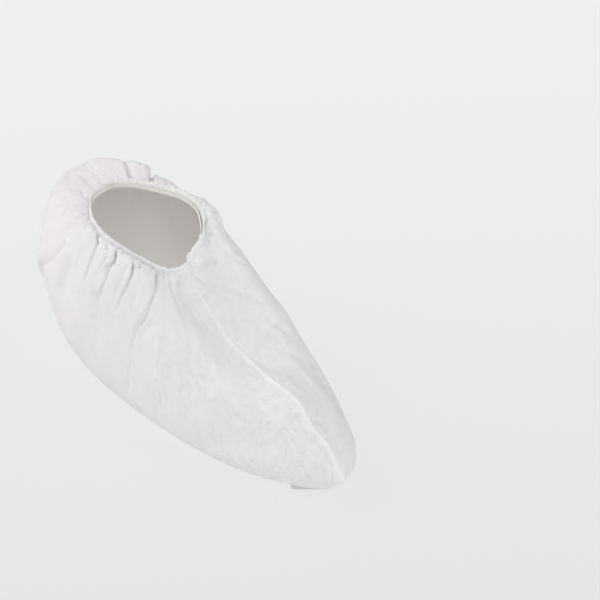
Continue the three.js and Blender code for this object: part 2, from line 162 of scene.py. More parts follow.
@dataclass(frozen=True)
class CoverForm:
    """The cover's smooth form before any gather or fold.

    Four closed guide curves run round the cover, at the hem's foot, the shoulder, the flank and the floor
    edge. Each is a Catmull-Rom curve through the sections of the left side and back along the right. Down
    the cloth, a Bezier curve has the four guides' points as its handles. A station counts sections from the
    toe seam, and a drop runs from 0 at the hem's foot to 1 at the floor edge.
    """

    sections: tuple[Section, ...] = SECTIONS
    hem_height: float = 4.0
    sole_length: float = 305.0
    toe_spring: float = 10.0
    spring_start: float = 225.0
    lean_end: float = 0.6
    slope_step: float = 0.002

    def sole_height(self, x: np.ndarray) -> np.ndarray:
        """The sole's height, which rises with the square of the distance past the toe spring's start."""
        past = np.maximum(0.0, (x - self.spring_start) / (self.sole_length - self.spring_start))
        return self.toe_spring * past * past

    def handles(self, side: Side) -> np.ndarray:
        """The four guide points of every section on one side.

        Args:
            side: The side of the cover.

        Returns:
            An array of sections by guides by x, y, z.
        """
        mirror = np.array([1.0, side.value, 1.0])
        foot = np.array([s.rim(side) for s in self.sections]) * mirror - self.hem_height * UP
        floor = np.array([(*s.floor(side), 0.0) for s in self.sections]) * mirror
        floor[:, 2] = self.sole_height(floor[:, 0])
        across = (floor - foot) * [1.0, 1.0, 0.0]
        columns = ("reach", "rise", "bulge", "lift")
        reach, rise, bulge, lift = (
            np.array([[getattr(section, column)] for section in self.sections]) for column in columns
        )
        shoulder = foot + across * reach + UP * rise
        flank = floor + unit(across) * bulge + UP * lift
        return np.stack([foot, shoulder, flank, floor], axis=1)

    @cached_property
    def guide_ring(self) -> np.ndarray:
        """The guides' points in order round the cover, as guides by points by x, y, z."""
        left, right = self.handles(Side.LEFT), self.handles(Side.RIGHT)
        return np.concatenate([left, right[1:-1][::-1]]).transpose(1, 0, 2)

    def guides(self, side: Side, station: np.ndarray) -> np.ndarray:
        """The four guide curves at given stations.

        Each is the uniform Catmull-Rom cubic through the two nearest points with their neighbours' slopes.

        Args:
            side: The side of the cover.
            station: Stations along that side.

        Returns:
            An array of guides by the stations' shape by x, y, z.
        """
        ring = self.guide_ring
        count = ring.shape[1]
        turn = np.mod(side.value * station, count)
        first = np.floor(turn).astype(int)
        w = (turn - first)[..., None]
        a, b, c, d = (ring[:, (first + step) % count] for step in (-1, 0, 1, 2))
        squared, cubed = 2 * a - 5 * b + 4 * c - d, 3 * b - a - 3 * c + d
        curve = 0.5 * (2 * b + (c - a) * w + squared * w**2 + cubed * w**3)
        curve[3, ..., 2] = self.sole_height(curve[3, ..., 0])
        return curve

    def foot(self, side: Side, station: np.ndarray) -> np.ndarray:
        """The hem's foot, which is the uppermost guide, at given stations."""
        return self.guides(side, station)[0]

    def point(self, side: Side, station: np.ndarray, drop: np.ndarray) -> np.ndarray:
        """Points on the smooth cloth: the cubic Bezier curve over the four guides.

        Args:
            side: The side of the cover.
            station: Stations, of the same shape as the drops.
            drop: Drops from the hem's foot.

        Returns:
            The points, in mm.
        """
        foot, shoulder, flank, floor = self.guides(side, station)
        t = np.asarray(drop)[..., None]
        s = 1.0 - t
        return s**3 * foot + 3 * s**2 * t * shoulder + 3 * s * t**2 * flank + t**3 * floor

    def normal(self, side: Side, station: np.ndarray, drop: np.ndarray) -> np.ndarray:
        """Outward normals of the smooth cloth, across its slopes along the station and the drop.

        Args:
            side: The side of the cover.
            station: Stations, of the same shape as the drops.
            drop: Drops from the hem's foot.

        Returns:
            Unit vectors.
        """
        h = self.slope_step
        along = self.point(side, station + h, drop) - self.point(side, station - h, drop)
        lower, upper = np.minimum(1.0, drop + h), np.maximum(0.0, drop - h)
        down = self.point(side, station, lower) - self.point(side, station, upper)
        return unit(side.value * np.cross(down, along))

    def leaned(self, start: np.ndarray, drop: np.ndarray, heel_end: float) -> np.ndarray:
        """Stations of the cloth's lines, which start at the rim and lean to the heel on their way down.

        A line's lean grows with the sine of its drop up to a quarter turn and then stays. Lines in the last
        section lean so that the heel's seam reaches the floor in the middle.

        Args:
            start: The station at which each line leaves the rim.
            drop: Drops of the same shape.
            heel_end: The station at which the heel's seam leaves the rim.

        Returns:
            The station at each drop.
        """
        lean = np.interp(start, np.arange(len(self.sections)), [s.lean for s in self.sections])
        lean = lean + (LAST_STATION - heel_end) * np.clip(start - heel_end + 1.0, 0.0, 1.0)
        return start + lean * np.sin(0.5 * np.pi * np.minimum(1.0, drop / self.lean_end))


@dataclass(frozen=True)
class Fold:
    """A pleat, crease or dent along a short path of stations and drops.

    A negative depth makes it a swelling. Its width is the distance at which a bell curve across it has
    fallen to a third, and it grows by the spread along the path, while the depth falls to the end share. A
    lap moves a lip of cloth beside the valley over it, from the heel's side where it is negative. The lip's
    place is in widths from the valley, and its height is a share of the depth.
    """

    name: str
    path: Pairs
    width: float
    depth: float
    lap: float = 0.0
    end: float = 1.0
    spread: float = 1.0
    lip_place: float = 1.5
    lip_height: float = 0.14

    def places(self, form: CoverForm, side: Side, steps: int = 4) -> np.ndarray:
        """Points along the fold's path, with a few steps between the path's own points.

        Args:
            form: The smooth form that the fold lies on.
            side: The side of the cover.
            steps: Steps for each stretch of the path.

        Returns:
            The points, in mm.
        """
        turn = np.linspace(0.0, len(self.path) - 1.0, steps * (len(self.path) - 1) + 1)
        known = np.arange(len(self.path))
        station, drop = (np.interp(turn, known, column) for column in zip(*self.path))
        return form.point(side, station, drop)

    def offset(self, form: CoverForm, side: Side, points: np.ndarray, normals: np.ndarray) -> np.ndarray:
        """How far the fold moves each point of the cloth.

        The nearest place on the path gives the distance across the fold. The height is a bell curve of that
        distance. With a lap, a second bell beside the valley makes a lip, which is pushed over the valley.

        Args:
            form: The smooth form that the fold lies on.
            side: The side of the cover.
            points: The cloth's points, in mm.
            normals: The cloth's outward normals there.

        Returns:
            The move of each point, in mm.
        """
        places = self.places(form, side)
        nearest = np.full(points.shape[:-1], np.inf)
        gap = np.zeros_like(points)
        heading = np.zeros_like(points)
        share = np.zeros_like(nearest)
        last = len(places) - 1
        for index, (begin, finish) in enumerate(zip(places[:-1], places[1:])):
            stretch = finish - begin
            w = np.clip((points - begin) @ stretch / (stretch @ stretch), 0.0, 1.0)
            away = points - begin - w[..., None] * stretch
            distance = np.linalg.norm(away, axis=-1)
            closer = distance < nearest
            nearest = np.where(closer, distance, nearest)
            share = np.where(closer, (index + w) / last, share)
            gap = np.where(closer[..., None], away, gap)
            heading = np.where(closer[..., None], unit(stretch), heading)
        depth = self.depth * (1.0 + (self.end - 1.0) * share)
        width = self.width * (1.0 + (self.spread - 1.0) * share)
        across = nearest / width
        move = normals * (-depth * np.exp(-across**2))[..., None]
        if self.lap == 0.0:
            return move
        sideways = unit(np.cross(normals, heading))
        toward = np.sign(self.lap) * side.value * -1.0
        place = toward * np.sum(gap * sideways, axis=-1) / width
        beyond = np.abs(across**2 - place**2)
        lip = np.exp(-((place - self.lip_place) ** 2) - beyond) * depth / abs(self.depth)
        lift = self.lip_height * abs(self.depth) * lip
        push = -toward * abs(self.lap) * lip
        return move + normals * lift[..., None] + sideways * push[..., None]


SEAM_FOLDS = (
    Fold("tongue_swelling", ((0, 0.08), (0, 0.2)), 10, -4),
    Fold("vamp_dip", ((0, 0.42), (0, 0.47)), 9, 1.5),
    Fold("toe_box_swelling", ((0, 0.56), (0, 0.64)), 16, -5.5),
)

RIGHT_FOLDS = (
    Fold(
        "waist_pleat",
        ((6.45, 0.02), (6.18, 0.144), (6.17, 0.33), (6.26, 0.5)),
        1.2, 4.8, lap=-1.2, end=0.1,
    ),
    Fold("waist_slope", ((6.3, 0.04), (6.2, 0.3)), 5, 1.6, end=0.4),
    Fold("waist_eyelet", ((5.74, 0.095), (5.68, 0.12)), 1.4, 3),
    Fold(
        "arch_pleat",
        ((5.3, 0.08), (5.36, 0.2), (5.54, 0.256), (5.54, 0.32), (5.8, 0.456)),
        1.3, 5.4, lap=-1.4, end=0.1,
    ),
    Fold("arch_hollow", ((5.8, 0.44), (5.74, 0.55), (5.7, 0.67)), 5, 2.8, end=0.4),
    Fold(
        "ball_pleat",
        ((4.5, 0.11), (4.68, 0.224), (5.06, 0.368), (5.26, 0.464)),
        1.2, 4.6, lap=-1.2, end=0.1,
    ),
    Fold("ball_tick", ((4.54, 0.156), (4.18, 0.108)), 1.2, 2),
    Fold(
        "long_pleat",
        (
            (3.08, 0.04), (3.5, 0.164), (4.1, 0.312), (4.36, 0.4),
            (4.72, 0.492), (4.86, 0.568), (5.04, 0.864),
        ),
        1.4, 3.6, lap=-0.8, end=0.15, spread=1.6,
    ),
    Fold("long_pleat_branch", ((4.26, 0.432), (4.6, 0.504)), 3, 1.4),
    Fold("forefoot_ridge", ((4.04, 0.476), (4.2, 0.568), (4.28, 0.66)), 1.4, -0.8),
    Fold("forefoot_crease", ((4.28, 0.73), (4.28, 0.884)), 1.5, 1.1, end=0.3),
    Fold("front_gather_back", ((2.92, 0.1), (3.36, 0.252), (3.64, 0.404)), 2.4, 0.9, end=0.2, spread=2.0),
    Fold("front_gather_front", ((1.32, 0.04), (2.38, 0.232), (3.0, 0.4)), 2.4, 0.9, end=0.2, spread=2.0),
    Fold("front_tick_back", ((2.44, 0.01), (2.72, 0.06)), 1.2, 1.8),
    Fold("front_tick_middle", ((1.8, 0.01), (2.36, 0.096)), 1.3, 1.2),
    Fold("front_tick_front", ((0.9, 0.01), (1.6, 0.072)), 1.2, 1.8),
    Fold("flank_dent", ((6.8, 0.42), (6.8, 0.56)), 6, 3.2),
    Fold("heel_crease", ((7.15, 0.36), (7.32, 0.52), (7.94, 0.78)), 2.2, 2.0, end=0.7),
    Fold("heel_swelling", ((7.8, 0.64), (8.15, 0.78)), 10, -4.2),
    Fold("heel_tick_high", ((8.92, 0.03), (8.94, 0.07)), 1.6, 1.6),
    Fold("heel_tick_middle", ((8.2, 0.04), (8.08, 0.1)), 1.6, 1.7),
    Fold("heel_tick_low", ((7.56, 0.05), (7.4, 0.11)), 1.6, 1.7),
    Fold("heel_gather", ((7.4, 0.02), (6.76, 0.136)), 2.0, 1.3, end=0.4),
    Fold("heel_spot_high", ((8.1, 0.15), (8.0, 0.18)), 2.6, 1.3),
    Fold("heel_spot_low", ((7.88, 0.21), (7.8, 0.25)), 2.6, 1.3),
    Fold("back_crease_high", ((9.56, 0.28), (8.96, 0.156)), 2.4, 1.3),
    Fold("back_crease_low", ((9.76, 0.184), (9.64, 0.092)), 2.2, 1.1),
    Fold("toe_pucker_high", ((1.35, 0.515), (0.28, 0.505)), 2.4, 0.9),
    Fold("toe_pucker_middle", ((1.43, 0.585), (0.35, 0.555)), 2.4, 0.9),
    Fold("toe_pucker_low", ((0.88, 0.675), (0.33, 0.675)), 3.0, 1.3),
    Fold("toe_flank_hollow", ((2.9, 0.81), (1.75, 0.76)), 12, 2.0),
    Fold("vamp_drape_front", ((2.2, 0.372), (3.42, 0.64)), 3.0, 0.6),
    Fold("vamp_drape_back", ((2.76, 0.344), (3.64, 0.64)), 3.0, 0.6),
)

LEFT_FOLDS = (
    Fold("heel_swelling", ((9.3, 0.22), (7.85, 0.2)), 9, -6),
    Fold("seam_side_crease", ((9.36, 0.288), (9.3, 0.164), (9.3, 0.06)), 1.8, 1.2),
    Fold("back_pleat", ((8.36, 0.04), (8.38, 0.156), (8.5, 0.256)), 1.4, 4.2, lap=0.8, end=0.4),
    Fold("corner_pleat", ((7.5, 0.03), (7.57, 0.12), (7.66, 0.42)), 2.0, 6.2, lap=1.0, end=0.8),
    Fold("waist_swelling", ((7.25, 0.22), (7.15, 0.26)), 5, -2),
    Fold("waist_pleat", ((6.6, 0.03), (6.85, 0.45)), 2.2, 6.2, lap=0.8, end=0.5),
    Fold("arch_pleat", ((5.4, 0.03), (5.9, 0.5)), 2.6, 1.2, end=0.4),
    Fold("ball_pleat", ((4.3, 0.03), (5.3, 0.42)), 2.6, 1.0, end=0.4),
    Fold("shoulder_swelling", ((5.7, 0.2), (4.9, 0.2)), 9, -3),
    Fold("arch_flute", ((5.9, 0.34), (6.1, 0.7)), 4, 1.8),
    Fold("waist_flute", ((6.5, 0.34), (6.7, 0.7)), 4, -1.8),
    Fold("side_flute", ((7.2, 0.34), (7.3, 0.7)), 4, 2.2),
    Fold("heel_flute", ((8.0, 0.34), (8.1, 0.7)), 4, -1.8),
    Fold("flank_hollow", ((4.8, 0.32), (4.1, 0.48)), 14, 3.5),
    Fold("side_crease", ((3.86, 0.05), (3.48, 0.16), (3.42, 0.228), (3.72, 0.316)), 1.8, 2.0, end=0.6),
    Fold("side_crease_back", ((5.0, 0.17), (4.7, 0.188), (4.4, 0.236), (3.96, 0.28)), 2.0, 1.6, end=0.6),
    Fold("side_tick", ((3.52, 0.028), (3.14, 0.056)), 1.2, 1.2),
    Fold("tongue_crease", ((0.88, 0.02), (2.0, 0.088), (2.5, 0.136)), 1.6, 1.6, lap=0.5),
    Fold(
        "vamp_crease",
        (
            (0.14, 0.032), (1.2, 0.132), (1.66, 0.236), (2.02, 0.296),
            (2.34, 0.36), (2.62, 0.476), (2.74, 0.528),
        ),
        1.8, 1.3, lap=0.5, end=0.3, spread=1.8,
    ),
    Fold("instep_hollow", ((2.2, 0.292), (2.72, 0.404)), 3.0, 1.2),
    Fold("vamp_hollow", ((2.56, 0.428), (2.8, 0.528)), 3.0, 1.2),
    Fold("forefoot_hollow", ((1.38, 0.432), (1.9, 0.48), (2.32, 0.56), (2.68, 0.632)), 5, 1.8),
    Fold("seam_hollow", ((0.25, 0.445), (0.62, 0.5)), 3.5, 1.0),
    Fold("toe_side_hollow", ((2.6, 0.7), (2.2, 0.84)), 9, 2.0),
    Fold("toe_pucker", ((0.2, 0.72), (0.75, 0.716)), 3.0, 1.0),
)


@dataclass(frozen=True)
class GatherBand:
    """Gathers of one size, which begin below the hem and die out down the cloth.

    The lifted share raises all of them. Their strength changes along the rim, over a length in pitches. A
    crest power below one makes the crests rounder and the valleys sharper.
    """

    pitch: float
    height: float
    begin: float = 0.0
    full: float = 1.0
    reach: float = 1.0
    lifted: float = 0.0
    wander: float = 0.9
    wander_length: float = 46.0
    strength: float = 0.65
    strength_change: float = 0.45
    strength_length: float = 2.7
    crest_power: float = 0.7

    def wave(self, edge: np.ndarray, rng: np.random.Generator) -> np.ndarray:
        """Rounded crests with creased valleys along the rim.

        The wave is twice a power of the size of a sine, less one. The sine's half turn is a pitch long and
        wanders, and so does the wave's height.

        Args:
            edge: Places along the rim, in mm.
            rng: The seeded source of the wandering.

        Returns:
            The wave at each place, between about -1 and 1.
        """
        phase = np.pi * (edge / self.pitch + self.wander * smooth_noise(edge, self.wander_length, rng))
        change = smooth_noise(edge, self.strength_length * self.pitch, rng)
        strength = self.strength + self.strength_change * change
        return strength * (2.0 * np.abs(np.sin(phase)) ** self.crest_power - 1.0)

    def field(self, edge: np.ndarray, run: np.ndarray, rng: np.random.Generator) -> np.ndarray:
        """The gathers' height: the wave along the rim times a rise and a bell curve of the way down.

        Args:
            edge: Places along the rim, in mm, one for each line of the cloth.
            run: The way down each line from the hem's foot, in mm.
            rng: The seeded source of the wandering.

        Returns:
            Heights, in mm.
        """
        fade = smooth_step(run, self.begin, self.full) * np.exp(-((run / self.reach) ** 2))
        return self.height * (self.wave(edge, rng) + self.lifted)[:, None] * fade


GATHER_BANDS = (
    GatherBand(pitch=4.2, height=0.7, begin=0.0, full=1.0, reach=6.0, lifted=0.3),
    GatherBand(pitch=7.5, height=0.8, begin=0.5, full=4.0, reach=17.0),
    GatherBand(pitch=14.0, height=0.75, begin=3.0, full=14.0, reach=38.0),
    GatherBand(pitch=27.0, height=0.8, begin=10.0, full=30.0, reach=75.0),
)


@dataclass(frozen=True)
class Creases:
    """Shallow creases from handling, thrown over a panel by a seeded chance."""

    count: int = 9
    stations: tuple[float, float] = (0.6, 9.5)
    drops: tuple[float, float] = (0.2, 0.85)
    station_reach: float = 0.6
    drop_reach: float = 0.16
    widths: tuple[float, float] = (1.2, 2.6)
    depths: tuple[float, float] = (0.08, 0.22)
    bend: float = 0.02

    def folds(self, rng: np.random.Generator) -> list[Fold]:
        """The creases as folds, each a slightly bent line about a chance middle.

        Args:
            rng: The seeded source.

        Returns:
            One fold for each crease.
        """
        station = rng.uniform(*self.stations, self.count)
        drop = rng.uniform(*self.drops, self.count)
        across = rng.normal(0.0, self.station_reach, self.count)
        down = rng.normal(0.0, self.drop_reach, self.count)
        bend = rng.normal(0.0, self.bend, self.count)
        width = rng.uniform(*self.widths, self.count)
        depth = rng.uniform(*self.depths, self.count)
        rows = zip(station, drop, across, down, bend, width, depth)
        return [
            Fold(f"crease_{n}", ((s - a, d - v), (s, d + b), (s + a, d + v)), w, h)
            for n, (s, d, a, v, b, w, h) in enumerate(rows)
        ]


@dataclass(frozen=True)
class Seam:
    """The raised centre seam, and the cloth turned in under it.

    The shares say how plainly it shows, which grows over the vamp's drops. The allowance is shallow at the
    rim and whole at a given way from it. The weave's length and place, and its straight ends, are in drops.
    """

    gap: float = 0.03
    ridge: float = 1.2
    ridge_width: float = 1.8
    heel_share: float = 0.6
    rim_share: float = 0.4
    vamp_drops: tuple[float, float] = (0.05, 0.35)
    calm: float = 8.0
    allowance: float = 4.5
    allowance_at_rim: float = 0.3
    allowance_start: float = 6.0
    allowance_whole: float = 18.0
    allowance_rows: tuple[float, ...] = (0.35, 1.0)
    doubled_share: float = 0.8
    doubled_width: float = 2.4
    pucker_pitch: float = 6.5
    pucker_height: float = 0.35
    pucker_reach: float = 6.0
    pucker_start: float = 1.6
    pucker_wander: float = 0.35
    pucker_wander_length: float = 37.0
    aside: float = -1.5
    weave: float = 1.2
    weave_length: float = 0.185
    weave_place: float = 0.35
    weave_drops: tuple[float, float] = (0.15, 0.3)
    straight_ends: tuple[float, float] = (0.06, 0.93)
    stray_stations: float = 1.5

    def strength(self, station: np.ndarray, drop: np.ndarray) -> np.ndarray:
        """How plainly the seam shows, up to 1: less at the heel and near the rim than down the vamp."""
        vamp = self.rim_share + (1.0 - self.rim_share) * smooth_step(drop, *self.vamp_drops)
        return np.where(station < 0.5 * LAST_STATION, vamp, self.heel_share)

    def height(
        self, away: np.ndarray, run: np.ndarray, strength: np.ndarray, rng: np.random.Generator
    ) -> np.ndarray:
        """The seam's ridge and the puckers beside it.

        The ridge is a bell curve of the distance from the seam. The puckers are a wandering cosine of the
        way down, times the difference of a wide and a narrow bell curve.

        Args:
            away: Distances from the seam, in mm.
            run: The way down from the hem's foot, in mm.
            strength: How plainly the seam shows.
            rng: The seeded source of the puckers' wandering.

        Returns:
            Heights, in mm.
        """
        ridge = self.ridge * np.exp(-((away / self.ridge_width) ** 2)) * strength
        wander = self.pucker_wander * smooth_noise(run, self.pucker_wander_length, rng)
        pucker = np.cos(2.0 * np.pi * (run / self.pucker_pitch + wander))
        beside = np.exp(-((away / self.pucker_reach) ** 2)) - np.exp(-((away / self.pucker_start) ** 2))
        return ridge + self.pucker_height * pucker * beside

    def stray(self, drop: np.ndarray) -> np.ndarray:
        """How far the seam over the vamp strays to the wearer's left, in mm.

        It lies a little aside and weaves about that line by a cosine of the drop, which grows below the
        tongue. Rim and floor edge keep to the middle.

        Args:
            drop: Drops from the hem's foot.

        Returns:
            The stray at each drop.
        """
        turns = (drop - self.weave_place) / self.weave_length
        wave = np.cos(2.0 * np.pi * turns) * smooth_step(drop, *self.weave_drops)
        upper, lower = self.straight_ends
        ends = smooth_step(drop, 0.0, upper) * (1.0 - smooth_step(drop, lower, 1.0))
        return ends * (self.aside - self.weave * wave)


@dataclass
class Surface:
    """A piece's points in mm from the back of the sole, its faces, and how far each point is doubled."""

    points: np.ndarray
    faces: np.ndarray
    doubled: np.ndarray


@dataclass
class Panel:
    """One side of the cover with its half of the sole, sewn to the other side along the centre seam.

    Three fields hold values for a few stations: the hem's lean out and the flare of its top edge, which go
    inwards below zero, and the share of the gathers that the tape's pull raises there.
    """

    side: Side
    form: CoverForm
    folds: tuple[Fold, ...]
    seed: int
    heel_end: float
    hem_wave: float
    hem_lean: Pairs
    hem_flare: Pairs
    pull: Pairs
    front_lift: float = 0.0
    front_reach: float = 5.0
    seam: Seam = field(default_factory=Seam)
    columns: int = 380
    rim_steps: int = 2001
    even_share: float = 0.45
    seam_crowding: float = 0.6
    hem_rows: int = 11
    flank_rows: int = 104
    sole_rows: int = 5
    crowding: float = 1.35
    thickness: float = 0.55
    hem_bands: tuple[GatherBand, GatherBand] = (GatherBand(3.2, 1.0), GatherBand(8.5, 1.0))
    hem_band_shares: tuple[float, float] = (0.55, 0.45)
    hem_calm: float = 4.0
    hem_edge_wave: float = 0.9
    hem_doubled: float = 0.3
    heading_step: float = 0.01
    flare_start: float = 0.62
    flare_change: float = 0.5
    held_below_hem: float = 0.8
    floor_calm: float = 0.84
    sag: float = 0.45
    sag_run: tuple[float, float] = (6.0, 40.0)
    sag_waves: int = 7
    sag_lengths: tuple[float, float] = (32.0, 85.0)
    bands: tuple[GatherBand, ...] = GATHER_BANDS
    creases: Creases = field(default_factory=Creases)
    # The cloth's flat size and area, in metres.
    flat: tuple[float, float] = (0.21, 0.40)
    flat_area: float = 0.06

    @property
    def node(self) -> str:
        """The name of the solid that the panel stands for."""
        return f"{self.side.name.lower()}_panel"

    def starts(self) -> np.ndarray:
        """Stations at which the cloth's lines leave the rim.

        They are a mean of even stations and even steps along the rim, and lie closer together towards the
        seam at both ends.

        Returns:
            A station for each line, from the toe's seam to the heel's.
        """
        fine = np.linspace(0.0, self.heel_end, self.rim_steps)
        length = way_along(self.form.foot(self.side, fine))
        even = np.linspace(0.0, 1.0, self.columns)
        even += self.seam_crowding * (smooth_step(even, 0.0, 1.0) - even)
        by_length = np.interp(even * length[-1], length, fine)
        return self.even_share * self.heel_end * even + (1.0 - self.even_share) * by_length

    def drops(self) -> np.ndarray:
        """The flank's rows as drops, closer together near the hem."""
        return np.linspace(0.0, 1.0, self.flank_rows) ** self.crowding

    def sag_field(self, points: np.ndarray, rng: np.random.Generator) -> np.ndarray:
        """Broad unevenness of limp cloth: a sum of long waves in chance directions.

        Args:
            points: The cloth's points, in mm.
            rng: The seeded source of directions and phases.

        Returns:
            Heights, in mm.
        """
        lengths = rng.uniform(*self.sag_lengths, self.sag_waves)
        headings = unit(rng.normal(size=(self.sag_waves, 3))) / lengths[:, None]
        phases = rng.uniform(0.0, 2.0 * np.pi, self.sag_waves)
        waves = np.sin(2.0 * np.pi * points @ headings.T + phases)
        return self.sag * waves.sum(axis=-1) / math.sqrt(self.sag_waves)

    def stray(self) -> np.ndarray:
        """The vamp seam's stray in stations: the stray in mm by the width of half a section to each side.

        Returns:
            The stray of each row, towards the heel on this side above zero.
        """
        drop = self.drops()
        half = np.full_like(drop, 0.5)
        section = self.form.point(Side.LEFT, half, drop) - self.form.point(Side.RIGHT, half, drop)
        return self.side.value * self.seam.stray(drop) / np.linalg.norm(section, axis=-1)

    def from_seam(self, points: np.ndarray) -> np.ndarray:
        """Each point's distance from the nearer seam edge in its own row, in mm."""
        return np.linalg.norm(points[:, None] - points[[0, -1]], axis=-1).min(axis=1)

    def flank(self, start: np.ndarray, edge: np.ndarray, rng: np.random.Generator) -> np.ndarray:
        """The cloth from the hem's foot to the floor edge.

        Smooth points move along their normals by the gathers, folds, creases, sag and seam ridge. The move
        grows from nothing at the hem's foot and dies out towards the floor edge. At the seam all but the
        seam's own ridge and folds die out.

        Args:
            start: The station at which each line leaves the rim.
            edge: Each line's place along the rim, in mm.
            rng: The seeded source.

        Returns:
            Points, as lines by rows by x, y, z.
        """
        starts, drop = np.broadcast_arrays(start[:, None], self.drops()[None, :])
        station = self.form.leaned(starts, drop, self.heel_end)
        station = station + self.stray() * (1.0 - smooth_step(starts, 0.0, self.seam.stray_stations))
        points = self.form.point(self.side, station, drop)
        normals = self.form.normal(self.side, station, drop)
        run = way_along(points)
        from_seam = self.from_seam(points)
        off_seam = smooth_step(from_seam, 0.0, self.seam.calm)
        off_hem = smooth_step(run, 0.0, self.held_below_hem)
        off_floor = 1.0 - smooth_step(drop, self.floor_calm, 1.0)
        gathers = sum(band.field(edge, run, rng) for band in self.bands)
        gathers *= between(self.pull, start)[:, None]
        gathers += self.sag_field(points, rng) * smooth_step(run, *self.sag_run)
        ridge = self.seam.height(from_seam, run, self.seam.strength(starts, drop), rng)
        move = normals * (ridge + off_seam * gathers)[..., None]
        own = [*self.folds, *self.creases.folds(rng)]
        move += off_seam[..., None] * sum(fold.offset(self.form, self.side, points, normals) for fold in own)
        move += sum(fold.offset(self.form, self.side, points, normals) for fold in SEAM_FOLDS)
        return points + move * (off_hem * off_floor)[..., None]

    def hem(self, start: np.ndarray, edge: np.ndarray, rng: np.random.Generator) -> np.ndarray:
        """The hem's strip over its foot, frilled by the tape's pull.

        It stands up from the foot and leans out, or in. Between the places where the tape holds it, it
        swells out, and its top edge waves up and down and is lifted at the front. All grow with the height
        over the foot. Its upper part flares out or curls in over the tape, with the square of the height
        past the tape.

        Args:
            start: The station at which each line leaves the rim.
            edge: Each line's place along the rim, in mm.
            rng: The seeded source.

        Returns:
            Points from the top edge down, without the foot, as lines by rows by x, y, z.
        """
        foot = self.form.foot(self.side, start)
        ahead = self.form.foot(self.side, start + self.heading_step)
        outward = unit(self.side.value * np.cross((ahead - foot) * [1, 1, 0], UP))
        share = np.linspace(1.0, 0.0, self.hem_rows, endpoint=False)
        fine, broad = self.hem_bands
        fine_share, broad_share = self.hem_band_shares
        calm = smooth_step(np.minimum(edge, edge[-1] - edge), 0.0, self.hem_calm)
        frill = 1.0 + fine_share * fine.wave(edge, rng) + broad_share * broad.wave(edge, rng)
        wave = 0.5 * self.hem_wave * calm * frill
        lift = self.hem_edge_wave * calm * fine.wave(edge, rng)
        lift += self.front_lift * np.exp(-((edge / self.front_reach) ** 2))
        height = share[None, :] * self.form.hem_height + share[None, :] ** 2 * lift[:, None]
        lean = calm * between(self.hem_lean, start)
        swell = lean[:, None] * share + wave[:, None] * np.sin(0.5 * np.pi * share)
        flare = calm * between(self.hem_flare, start) * (1.0 + self.flare_change * broad.wave(edge, rng))
        past_tape = np.maximum(0.0, (share - self.flare_start) / (1.0 - self.flare_start))
        swell += flare[:, None] * past_tape**2
        return foot[:, None] + UP * height[..., None] + outward[:, None] * swell[..., None]

    def sole(self, floor_edge: np.ndarray, start: np.ndarray) -> np.ndarray:
        """The half sole, in straight lines from the floor edge to the centre seam.

        Args:
            floor_edge: The flank's last row.
            start: The station at which each line leaves the rim.

        Returns:
            Points inside the floor edge, as lines by rows by x, y, z.
        """
        share = np.linspace(0.0, 1.0, self.sole_rows + 1)[1:]
        seam = np.zeros_like(floor_edge)
        seam[:, 0] = self.form.sole_length * (1.0 - start / self.heel_end)
        lines = floor_edge[:, None] + share[None, :, None] * (seam - floor_edge)[:, None]
        lines[..., 2] = self.form.sole_height(lines[..., 0])
        return lines

    def surface(self) -> Surface:
        """The whole panel.

        Hem, flank and sole are one grid, with a strip for the seam allowance along its seam edges. The cloth
        is doubled at the hem and, by a bell curve of the distance from it, at the seam.

        Returns:
            The surface, with faces of four corners each.
        """
        rng = np.random.default_rng(self.seed)
        start = self.starts()
        edge = way_along(self.form.foot(self.side, start))
        flank = self.flank(start, edge, rng)
        grid = np.concatenate([self.hem(start, edge, rng), flank, self.sole(flank[:, -1], start)], axis=1)
        floor_row = self.hem_rows + self.flank_rows
        doubled = self.seam.doubled_share * np.exp(-((self.from_seam(grid) / self.seam.doubled_width) ** 2))
        doubled[:, self.hem_rows:floor_row] *= self.seam.strength(start[:, None], self.drops())
        doubled[:, :self.hem_rows] = self.hem_doubled
        grid[..., 1] += 0.5 * self.side.value * self.seam.gap
        lines, rows = grid.shape[:2]
        index = np.arange(lines * rows).reshape(lines, rows)
        order = np.concatenate([index[0, :floor_row], index[1:-1, -1], index[-1, :floor_row][::-1]])
        points = grid.reshape(-1, 3)
        strip, strip_faces = self.seam_strip(points[order], order, len(points))
        points = np.concatenate([points, strip])
        faces = np.concatenate([grid_faces(index), strip_faces])
        doubled = np.concatenate([doubled.reshape(-1), np.ones(len(strip))])
        return Surface(points, faces if self.side is Side.LEFT else faces[:, ::-1], doubled)

    def seam_strip(
        self, boundary: np.ndarray, order: np.ndarray, first: int
    ) -> tuple[np.ndarray, np.ndarray]:
        """The seam allowance, turned inside: rows of points below the seam edge, and their faces.

        Inward is square to the edge in the seam's plane. The allowance is shallow at the hem, so that it
        stays clear of the tape, and grows from there.

        Args:
            boundary: The seam edge's points, in order.
            order: Their numbers in the grid.
            first: The number that the strip's first point gets.

        Returns:
            The strip's points, and its faces.
        """
        heading = np.gradient(boundary, axis=0) * [1.0, 0.0, 1.0]
        inward = unit(np.stack([heading[:, 2], np.zeros(len(heading)), -heading[:, 0]], axis=-1))
        run = way_along(boundary)
        from_rim = np.minimum(run, run[-1] - run)
        seam = self.seam
        growth = smooth_step(from_rim, seam.allowance_start, seam.allowance_whole)
        depth = seam.allowance_at_rim + seam.allowance * growth
        shares = np.array(seam.allowance_rows)[:, None]
        points = boundary + inward * (shares * depth)[..., None]
        numbers = first + np.arange(shares.size * len(boundary)).reshape(shares.size, -1)
        return points.reshape(-1, 3), grid_faces(np.vstack([order, numbers]).T)

